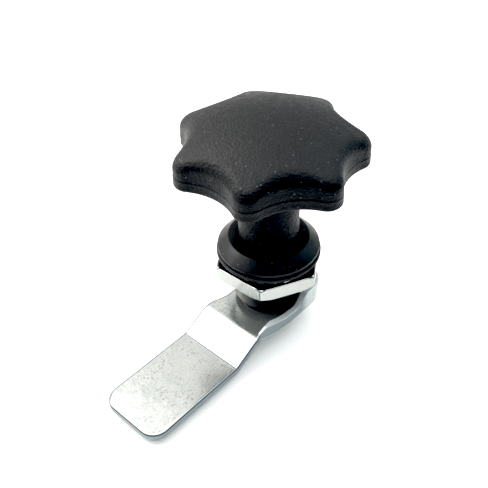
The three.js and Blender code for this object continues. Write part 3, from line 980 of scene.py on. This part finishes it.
def edge_section(point, out):
    """Points round the plate's edge, from its top inwards to its underside.

    Each is (inset, height above the plate's underside, finish). The rim is thin where it starts. Its outer
    face is painted dull and dark at the front and bright at the back, painted shade. The top of the
    left-facing edges is painted dark in the burr's finish, painted shade.
    """
    t = PLATE["thick"]
    height = rim_height(point)
    share = smooth(height / RIM["middle"])
    past_ramp = point[1] - RIM["start"] - RIM["ramp"] + RIM["thicken_lead"]
    thickening = 0.3 + 0.7 * smooth(past_ramp / RIM["thicken_length"])
    wall = RIM["thin"] + (t - RIM["thin"]) * share * thickening
    # painted shade: 1 at the rim's front and 0 at its back, darkening its outer face towards the front
    dull_and_shade = 1 - smooth((point[1] + 1.0) / 9.0)
    # painted shade: a dark line in the burr's finish along the top of edges that face left
    burr_and_shade = 0.8 * smooth(-2.0 * out[0] - 0.4)
    inner_round = min(0.4, 0.3 * height)
    lip = min(0.3, 0.4 * height)
    roll = 0.5 - 0.15 * share
    under = 0.2 + (RIM["outer_bend"] - 0.2) * share
    tail, shoulder, foot_inset = 3.4, 2.6, 0.15
    # each point is (inset, height, finish with no rim, finish on the rim)
    points = [(tail, t, SKIN, SKIN), (shoulder, t, SKIN, SKIN)]
    for a in radians_between(-90, -180, 7):
        foot = wall + foot_inset * (1 - share) + inner_round * (1 + math.cos(a))
        points.append((foot, t + inner_round * (1 + math.sin(a)), SKIN, SKIN))
    for a in radians_between(0, 90, 5):
        points.append((wall - lip + lip * math.cos(a), t + height - lip + lip * math.sin(a), burr_and_shade, CUT))
    plain = (burr_and_shade, burr_and_shade, max(0.7, burr_and_shade), BURR, BURR, DULL_AND_SHADE)
    rimmed = (CUT, CUT, 0.4, DULL_AND_SHADE, DULL_AND_SHADE, DULL_AND_SHADE)
    for a, finish, rim_finish in zip(radians_between(90, 180, 6), plain, rimmed):
        inset, level = roll + roll * math.cos(a), t + height - roll + roll * math.sin(a)
        points.append((inset, level, finish, rim_finish * dull_and_shade))
    below = (DULL_AND_SHADE, DULL_AND_SHADE, DULL_AND_SHADE, DULL_AND_SHADE, 0.9, BURR, BURR, 0.5, SKIN)
    for a, finish in zip(radians_between(180, 270, 9), below):
        points.append((under + under * math.cos(a), under + under * math.sin(a), finish, DULL_AND_SHADE * dull_and_shade))
    points.append((tail, 0.0, SKIN, SKIN))
    return [(inset, level, plain + (rim - plain) * share) for inset, level, plain, rim in points]


def strip_side(crank, x, out):
    """One straight side of the strip, from the tip's rounded corner to where the fixing end widens."""
    hairline_end = crank.hairline_start + 3 * PLATE["hairline"]
    marks = (
        crank.tip + PLATE["tip_round"], crank.hairline_start, hairline_end,
        crank.slope_start, crank.slope_end, crank.start,
    )
    found = []
    for a, b, steps in zip(marks, marks[1:], (30, 3, 9, 12, 10)):
        found += line((x, a), (x, b), out, steps)[1:]
    return found


def tip_corner(crank):
    p = PLATE
    return arc((p["half"] - p["tip_round"], crank.tip + p["tip_round"]), p["tip_round"], 270, 360, 12)


def right_side(crank):
    """From the tip back along the strip, out to the rim's side and round to the back."""
    p = PLATE
    half, crest, right, back, corner = p["half"], p["crest"], p["fix_right"], p["back"], p["corner"]
    widened = crest + 14
    found = tip_corner(crank) + strip_side(crank, half, (1, 0))
    ends = (half, crank.start), (right, widened)
    found += curve(ends[0], (half + 0.8, crest + 3.3), (right - 0.1, crest + 8), ends[1], 28)[1:]
    found += line((right, widened), (right, back - corner), (1, 0), 10)[1:]
    found += arc((right - corner, back - corner), corner, 0, 90, 24)[1:]
    return found


def left_side(crank):
    """The same on the left, where the fixing end is a little narrower than the strip and shorter."""
    p = PLATE
    half, crest, left, corner = p["half"], p["crest"], p["fix_left"], p["left_corner"]
    back, narrowed = p["back"] - p["left_short"], crest + 9
    found = [(q * [-1, 1], out * [-1, 1]) for q, out in tip_corner(crank)]
    found += strip_side(crank, -half, (-1, 0))
    narrowing = curve((-half, crank.start), (-half, crest + 4), (left, crest + 5), (left, narrowed), 28)
    found += [(q, -out) for q, out in narrowing[1:]]
    found += line((left, narrowed), (left, back - corner), (-1, 0), 10)[1:]
    found += arc((left + corner, back - corner), corner, 180, 90, 24)[1:]
    return found


def flat_plate(crank):
    """The plate before it is bent: points as (x, distance along, height), faces and finishes."""
    right, left = right_side(crank), left_side(crank)
    rows, columns = len(right), 16
    tip_row = line(left[0][0], right[0][0], (0, -1), columns)
    back_out = (-0.347, 0.938)
    back_row = line(left[-1][0], right[-1][0], back_out, columns)
    loop = tip_row[:-1] + right[:-1] + back_row[::-1][:-1] + left[::-1][:-1]
    verts, faces, finishes, sections = [], [], [], []

    def point(x, flat, height, finish):
        verts.append((x, flat, height))
        finishes.append(finish)
        return len(verts) - 1

    for place_on_loop, out in loop:
        ids = []
        for inset, height, finish in edge_section(place_on_loop, out):
            x, flat = place_on_loop - out * inset
            on_top = height == PLATE["thick"]
            ids.append(point(x, flat, height, max(finish, crank.hairline(flat)) if on_top else finish))
        sections.append(ids)
    size = len(sections[0])
    for ids, following in zip(sections, sections[1:] + sections[:1]):
        for k in range(size - 1):
            faces.append((ids[k], following[k], following[k + 1], ids[k + 1]))

    def loop_place(row, column):
        """Where a place of the grid lies on the loop, or None inside it."""
        if row == 0:
            return column
        if row == rows - 1:
            return columns + rows - 1 + (columns - column)
        if column == columns:
            return columns + row
        if column == 0:
            return len(loop) - row
        return None

    for layer in (0, size - 1):
        grid = []
        for row in range(rows):
            row_ids = []
            a = np.array(verts[sections[loop_place(row, 0)][layer]])
            b = np.array(verts[sections[loop_place(row, columns)][layer]])
            for column in range(columns + 1):
                at = loop_place(row, column)
                if at is None:
                    x, flat, height = a + (b - a) * (column / columns)
                    finish = crank.hairline(flat) if layer == 0 else SKIN
                    row_ids.append(point(x, flat, height, finish))
                else:
                    row_ids.append(sections[at][layer])
            grid.append(row_ids)
        for near, far in zip(grid, grid[1:]):
            for k in range(columns):
                faces.append((near[k], near[k + 1], far[k + 1], far[k]))
    return verts, faces, finishes


def cam():
    """The plate bent along the crank's middle line, slightly wavy, with a square hole for the spindle."""
    crank = Crank()
    verts, faces, finishes = flat_plate(crank)
    half_thick = PLATE["thick"] / 2
    middle = PLATE["top"] - half_thick
    wave_height, wave_scale, wave_seed = 0.02, 0.12, 3.7
    bent = []
    for x, flat, height in verts:
        y, z, turn = crank.at(flat)
        lift = height - half_thick
        wave = wave_height * noise.noise(Vector((x * wave_scale, flat * wave_scale, wave_seed)))
        bent.append((x, y - lift * math.sin(turn), middle + z + lift * math.cos(turn) + wave))
    plate = build("cam_plate", bent, faces, 50, finishes)
    s = PLATE["square"] / 2
    square = [(-s, -s), (s, -s), (s, s), (-s, s)]
    carve(plate, prism("cutter", square, PLATE["top"] - 6, PLATE["top"] + 3), 50)
    place(plate, "rotor", "zinc_plate", SHEET, "cam")


# ---- the pieces ----
def pieces():
    star_knob()
    housing()
    ring_piece("gasket_ring", "flange_gasket", 11.3, "housing", "seal_rubber", RUBBER, 0.3)
    lock_washer()
    hex_nut()
    cam()
    ring_piece("plain_washer", "cam_washer", 3.3, "rotor", "zinc_plate", ZINC, 0.15, 96)
    spring_washer()
    cam_bolt()
    finishes = {
        "knob_insert": STEEL, "spindle": STEEL, "neck_seal": RUBBER, "thrust_washer": PLASTIC,
        "wave_spring": STEEL, "spindle_o_ring": RUBBER, "retaining_ring": STEEL, "stop_disc": COAT,
    }
    for node, material in finishes.items():
        material_slot(frame["nodes"][node], material)


# ---- camera, floor and light ----
# here places and distances are in metres, and the lens and sensor in millimetres
CAMERA = {
    "place": (0.093269, -0.110600, 0.124745), "azimuth": 42.817, "elevation": 40.394, "roll": -1.394,
    "lens": 50.915, "sensor": 36.0, "nearest": 0.005,
}
FLOOR = {"half": 3.0, "gap": 0.00005, "dark": 0.87, "light": 0.89}
ROOM = {
    "bright_side": (-0.35, 0.85, 0.45), "dark": (0.10, 0.125, 0.14), "bright": (1.0, 0.985, 0.95),
    "edge": (0.25, 0.75), "strength": 1.25, "horizon": (0.0, 0.45), "horizon_share": 0.8,
    "backdrop": (0.86, 0.87, 0.87),
}


def camera():
    a, e, r = (math.radians(CAMERA[k]) for k in ("azimuth", "elevation", "roll"))
    back = Vector((math.sin(a) * math.cos(e), -math.cos(a) * math.cos(e), math.sin(e)))
    right = Vector((math.cos(a), math.sin(a), 0))
    up = back.cross(right)
    across = right * math.cos(r) + up * math.sin(r)
    upward = up * math.cos(r) - right * math.sin(r)
    data = bpy.data.cameras.new("camera")
    data.sensor_width = CAMERA["sensor"]
    data.lens = CAMERA["lens"]
    data.clip_start = CAMERA["nearest"]
    obj = add_object("camera", data)
    axes = Matrix((across, upward, back)).transposed()
    obj.matrix_world = Matrix.Translation(CAMERA["place"]) @ axes.to_4x4()
    bpy.context.scene.camera = obj


def from_camera(side, away, height):
    """A point so many metres to the camera's right, away from it and up, measured from the part's axis."""
    a = math.radians(CAMERA["azimuth"])
    right = Vector((math.cos(a), math.sin(a), 0))
    behind = Vector((-math.sin(a), math.cos(a), 0))
    return right * side + behind * away + Vector((0, 0, height))


def softbox(name, where, size, power, colour=(1, 1, 1)):
    """A rectangular light that faces the frame's origin. Sizes are in metres and the power in watts."""
    data = bpy.data.lights.new(name, "AREA")
    data.shape = "RECTANGLE"
    data.size, data.size_y = size
    data.energy = power
    data.color = colour
    obj = add_object(name, data)
    obj.location = where
    obj.rotation_mode = "QUATERNION"
    obj.rotation_quaternion = (-where).to_track_quat("-Z", "Y")


def floor():
    """A sheet of pale paper just below the part's lowest point."""
    height = cad_box[0].z - FLOOR["gap"]
    half = FLOOR["half"]
    mesh = bpy.data.meshes.new("floor")
    corners = [(-half, -half, height), (half, -half, height), (half, half, height), (-half, half, height)]
    mesh.from_pydata(corners, [], [(0, 1, 2, 3)])
    obj = add_object("floor", mesh)
    n = Nodes("floor_paper")
    n.set(
        Base_Color=n.blotches(n.noise(6, 2), grey(FLOOR["dark"]), grey(FLOOR["light"])),
        Roughness=0.9,
    )
    material_slot(obj, n.material)


def world():
    """A room that is bright behind the object, dark on the camera's side and dimmer along the horizon."""
    studio = bpy.data.worlds.new("studio")
    bpy.context.scene.world = studio
    room = Tree(studio)
    background = room.tree.nodes["Background"]
    direction = room.add("ShaderNodeTexCoord").outputs["Generated"]
    dot = room.add("ShaderNodeVectorMath", operation="DOT_PRODUCT")
    dot.inputs[1].default_value = from_camera(*ROOM["bright_side"]).normalized()
    room.link(direction, dot.inputs[0])
    spread = room.span(dot.outputs["Value"], -1.0, 1.0, 0.0, 1.0)
    ends = zip(ROOM["edge"], (ROOM["dark"], ROOM["bright"]))
    tone = room.ramp(spread, *ends, blend="EASE")
    parts = room.add("ShaderNodeSeparateXYZ")
    room.link(direction, parts.inputs["Vector"])
    rise = room.span(parts.outputs["Z"], *ROOM["horizon"], ROOM["horizon_share"], 1.0, "SMOOTHSTEP")
    shade = room.add("ShaderNodeVectorMath", operation="SCALE")
    room.link(tone, shade.inputs["Vector"])
    room.link(rise, shade.inputs["Scale"])
    room.link(shade.outputs["Vector"], background.inputs["Color"])
    background.inputs["Strength"].default_value = ROOM["strength"]
    # the room lights the object, while the picture's own background is plain and pale
    backdrop = room.add("ShaderNodeBackground")
    backdrop.inputs["Color"].default_value = (*ROOM["backdrop"], 1)
    choice = room.add("ShaderNodeMixShader")
    seen = room.add("ShaderNodeLightPath").outputs["Is Camera Ray"]
    room.link(seen, choice.inputs["Fac"])
    room.link(background.outputs["Background"], choice.inputs[1])
    room.link(backdrop.outputs["Background"], choice.inputs[2])
    room.link(choice.outputs["Shader"], room.tree.nodes["World Output"].inputs["Surface"])


def lights():
    softbox("key", from_camera(-0.38, 0.15, 0.41), (0.5, 0.5), 5.2, (1.0, 0.975, 0.93))
    softbox("right", from_camera(0.48, 0.18, 0.36), (0.4, 0.4), 0.7, (0.60, 0.91, 1.0))
    softbox("top", from_camera(0.15, -0.10, 0.75), (1.2, 1.0), 8.0)


def look():
    """A contrasty print: the darkest tones are pulled down to black."""
    view = bpy.context.scene.view_settings
    view.view_transform = "Standard"
    view.look = "None"
    view.use_curve_mapping = True
    view.curve_mapping.black_level = (0.053, 0.050, 0.046)
    view.curve_mapping.white_level = (1.0, 1.0, 1.0)
    view.curve_mapping.update()


pieces()
camera()
floor()
world()
lights()
look()
